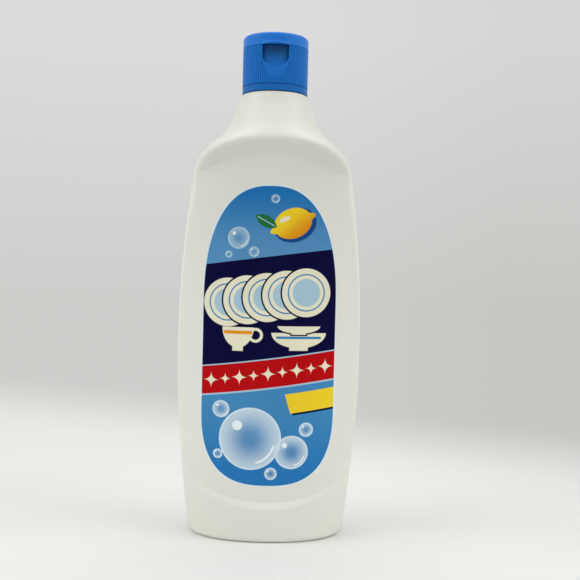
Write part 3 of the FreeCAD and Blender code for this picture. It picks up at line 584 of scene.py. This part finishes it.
def bead(name, line, width, height, material):
    """A fine raised line along points of the bottle's skin in the plane where y is 0."""
    mesh = bmesh.new()
    rings = []
    across = Vector((0, 1, 0))
    for i, point in enumerate(line):
        along = (line[min(i + 1, len(line) - 1)] - line[max(i - 1, 0)]).normalized()
        out = along.cross(across).normalized()
        if out.dot(point - BOTTLE_MIDDLE) < 0:
            out.negate()
        rings.append([point + across * (share * width / 2) + out * (rise * height)
                      for share, rise in BEAD_SECTION])
    loft_rings(mesh, rings)
    new_piece(name, mesh, "bottle", material)


def parting_line(material):
    """The mould's seam up both flanks and the wider pinch-off seam under the base."""
    skin = BVHTree.FromObject(nodes["bottle"], bpy.context.evaluated_depsgraph_get())
    levels = [SEAM_LOW + (SEAM_HIGH - SEAM_LOW) * i / SEAM_STEPS for i in range(SEAM_STEPS + 1)]
    for name, side in (("seam_left", -1), ("seam_right", 1)):
        line = skin_points(skin, [(side * 0.1, 0, level) for level in levels], (-side, 0, 0))
        bead(name, line, SEAM_WIDTH, SEAM_HEIGHT, material)
    spots = [-PINCH_HALF + 2 * PINCH_HALF * i / PINCH_STEPS for i in range(PINCH_STEPS + 1)]
    line = skin_points(skin, [(spot, 0, -0.05) for spot in spots], (0, 0, 1))
    bead("pinch_seam", line, PINCH_WIDTH, PINCH_HEIGHT, material)


# ---------------------------------------------------------------- living hinge
WEB_WIDE = 4.2 * MM
WEB_REACH = 1.1 * MM
WEB_STEPS = 16

# Half the web's thickness on the axis, and what it gains by each end.
WEB_THIN, WEB_GAIN = 0.11 * MM, 0.22 * MM

# How far the web's middle lies behind the axis, and how far it bows forward by each end.
WEB_BACK, WEB_BOW = 0.02 * MM, 0.12 * MM


def hinge_web(material):
    """The web that joins the lid to the cap, thinnest on the axis."""
    axis = Vector(joints["lid_flip"]["pos_m"])
    mesh = bmesh.new()
    rings = []
    for i in range(WEB_STEPS + 1):
        share = 2 * i / WEB_STEPS - 1
        level = axis.z + share * WEB_REACH
        half = WEB_THIN + WEB_GAIN * share * share
        middle = axis.y + WEB_BACK - WEB_BOW * share * share
        rings.append([Vector((side * WEB_WIDE, middle + way * half, level))
                      for side, way in ((-1, -1), (1, -1), (1, 1), (-1, 1))])
    loft_rings(mesh, rings)
    web = new_piece("hinge_web", mesh, None, material)
    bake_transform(web)


# ---------------------------------------------------------------- stage
FLOOR_R = 0.7
FLOOR_WHITES = (colour(240, 240, 237), colour(244, 244, 241))

# Height from straight down at 0 to straight up at 1, and the share of the world's light there.
SKY_LIGHT = ((0.3, 0.05), (0.5, 0.95), (0.72, 0.37), (1.0, 0.21))
SKY_STRENGTH = 1.2
SKY_WARMTH = 0.985
BACKDROP_LOW = colour(206, 205, 203)
BACKDROP_HIGH = colour(220, 220, 220)
BACKDROP_SIDE = colour(247, 247, 246)

# Soft lamps: name, place, size and power.
LAMP_TARGET = Vector((0, 0, 0.1))
LAMPS = (
    ("top_light", (0.0, 0.1, 1.05), 0.8, 4.0),
    ("left_light", (-0.75, -0.2, 0.8), 0.6, 2.8),
    ("right_light", (0.75, -0.2, 0.8), 0.6, 2.6),
    ("front_light", (0.0, -1.1, 0.3), 0.5, 0.4),
)

LENS = 56.4
SENSOR = 36.0
EYE = (0.002, -0.4, 0.1168)
EYE_TURN, EYE_PITCH, EYE_ROLL = -0.96, 90 - 1.6, 1.39


def floor_material():
    """Pale floor that fades into the background behind the bottle, nearer on the right."""
    finish = Finish("floor")
    far = finish.y + finish.x * 0.55
    near = length(finish.x, finish.y - 150.0)
    finish.set(base_color=finish.blend(finish.noise(30.0, 3.0), *FLOOR_WHITES), roughness=0.6)
    clear = finish.nodes.new("ShaderNodeBsdfTransparent")
    mix = finish.nodes.new("ShaderNodeMixShader")
    finish.put(mix.inputs[0], far.ramp(120.0, 400.0).high(near.ramp(330.0, 480.0)))
    finish.links.new(finish.shader.outputs[0], mix.inputs[1])
    finish.links.new(clear.outputs[0], mix.inputs[2])
    finish.links.new(mix.outputs[0], finish.nodes["Material Output"].inputs["Surface"])
    return finish.material


def floor():
    """A round sheet under the bottle."""
    mesh = bmesh.new()
    bmesh.ops.create_circle(mesh, cap_ends=True, segments=96, radius=FLOOR_R)
    data = bpy.data.meshes.new("floor")
    mesh.to_mesh(data)
    mesh.free()
    piece = bpy.data.objects.new("floor", data)
    bpy.context.scene.collection.objects.link(piece)
    wear(piece, floor_material())


def soft_lamp(name, place, size, watts):
    """A square soft light turned to the bottle."""
    data = bpy.data.lights.new(name, "AREA")
    data.size = size
    data.energy = watts
    lamp = bpy.data.objects.new(name, data)
    lamp.location = place
    lamp.rotation_euler = (LAMP_TARGET - Vector(place)).to_track_quat("-Z", "Y").to_euler()
    bpy.context.scene.collection.objects.link(lamp)


def stretched(tree, value, start, end):
    """0 where a value is at the start and 1 where it is at the end."""
    node = tree.nodes.new("ShaderNodeMapRange")
    node.inputs["From Min"].default_value = start
    node.inputs["From Max"].default_value = end
    tree.links.new(value, node.inputs["Value"])
    return node.outputs["Result"]


def mixed(tree, amount, first, second, way="MIX"):
    """A Mix node of two colours, where the first may be another node's output."""
    node = tree.nodes.new("ShaderNodeMix")
    node.data_type = "RGBA"
    node.blend_type = way
    tree.links.new(amount, node.inputs[MIX_AMOUNT])
    if isinstance(first, bpy.types.NodeSocket):
        tree.links.new(first, node.inputs[MIX_FIRST])
    else:
        node.inputs[MIX_FIRST].default_value = first
    node.inputs[MIX_SECOND].default_value = second
    return node.outputs[MIX_RESULT]


def sky_light(tree, level):
    """Even light that is strongest at eye level."""
    sky = tree.nodes.new("ShaderNodeValToRGB")
    spots = sky.color_ramp.elements
    for i, (place, strength) in enumerate(SKY_LIGHT):
        spot = spots[i] if i < 2 else spots.new(place)
        spot.position = place
        spot.color = (strength, strength, strength * SKY_WARMTH, 1.0)
    tree.links.new(stretched(tree, level, -1.0, 1.0), sky.inputs[0])
    light = tree.nodes["Background"]
    light.inputs["Strength"].default_value = SKY_STRENGTH
    tree.links.new(sky.outputs["Color"], light.inputs["Color"])
    return light.outputs[0]


def backdrop(tree, across, level):
    """Plain grey, a little lighter upwards and darker to the right."""
    tone = mixed(tree, stretched(tree, level, -0.04, 0.24), BACKDROP_LOW, BACKDROP_HIGH)
    dusk = mixed(tree, stretched(tree, across, 0.0, 0.25), tone, BACKDROP_SIDE, "MULTIPLY")
    seen = tree.nodes.new("ShaderNodeBackground")
    tree.links.new(dusk, seen.inputs["Color"])
    return seen.outputs[0]


def studio():
    """The world: the backdrop where the camera sees it or sees through to it, and the light elsewhere."""
    world = bpy.data.worlds.new("studio")
    bpy.context.scene.world = world
    world.use_nodes = True
    tree = world.node_tree
    place = tree.nodes.new("ShaderNodeTexCoord")
    split = tree.nodes.new("ShaderNodeSeparateXYZ")
    tree.links.new(place.outputs["Generated"], split.inputs[0])
    rays = tree.nodes.new("ShaderNodeLightPath")
    either = tree.nodes.new("ShaderNodeMath")
    either.operation = "MAXIMUM"
    tree.links.new(rays.outputs["Is Camera Ray"], either.inputs[0])
    tree.links.new(rays.outputs["Is Transmission Ray"], either.inputs[1])
    mix = tree.nodes.new("ShaderNodeMixShader")
    tree.links.new(either.outputs[0], mix.inputs[0])
    tree.links.new(sky_light(tree, split.outputs["Z"]), mix.inputs[1])
    tree.links.new(backdrop(tree, split.outputs["X"], split.outputs["Z"]), mix.inputs[2])
    tree.links.new(mix.outputs[0], tree.nodes["World Output"].inputs["Surface"])


def camera():
    """Close in front of the label, slightly turned, lowered and tilted."""
    data = bpy.data.cameras.new("camera")
    data.lens = LENS
    data.sensor_width = SENSOR
    eye = bpy.data.objects.new("camera", data)
    turn = Matrix.Rotation(math.radians(EYE_TURN), 4, "Z")
    pitch = Matrix.Rotation(math.radians(EYE_PITCH), 4, "X")
    roll = Matrix.Rotation(math.radians(EYE_ROLL), 4, "Z")
    eye.matrix_world = Matrix.Translation(EYE) @ turn @ pitch @ roll
    bpy.context.scene.collection.objects.link(eye)
    bpy.context.scene.camera = eye


# ---------------------------------------------------------------- dress the solids
white = bottle_material()
# The cap's blue is a little darker than the lid's, as painted shade for its flutes.
cap_blue_shaded = cap_material("cap_blue_shaded", *CAP_BLUE_SHADED, gloss=0.12)
lid_blue = cap_material("lid_blue", *LID_BLUE, gloss=0.26)
wear(nodes["bottle"], white)
wear(nodes["gel"], gel_material())
wear(nodes["front_label"], label_material())
wear(nodes["cap_liner"], foam_material())
wear(nodes["cap_base"], cap_blue_shaded)
wear(nodes["flip_lid"], lid_blue)

# ---------------------------------------------------------------- added pieces
thread("neck_thread", NECK_R, THREAD_REACH, NECK_THREAD_FOOT, NECK_THREAD_TURNS, "bottle", white)
thread("cap_thread", BORE_R, -THREAD_REACH, CAP_THREAD_FOOT, CAP_THREAD_TURNS, "cap", cap_blue_shaded)
hinge_web(cap_blue_shaded)
parting_line(white)

# ---------------------------------------------------------------- floor, light and camera
floor()
studio()
for lamp in LAMPS:
    soft_lamp(*lamp)
camera()
bpy.context.scene.view_settings.view_transform = "Standard"
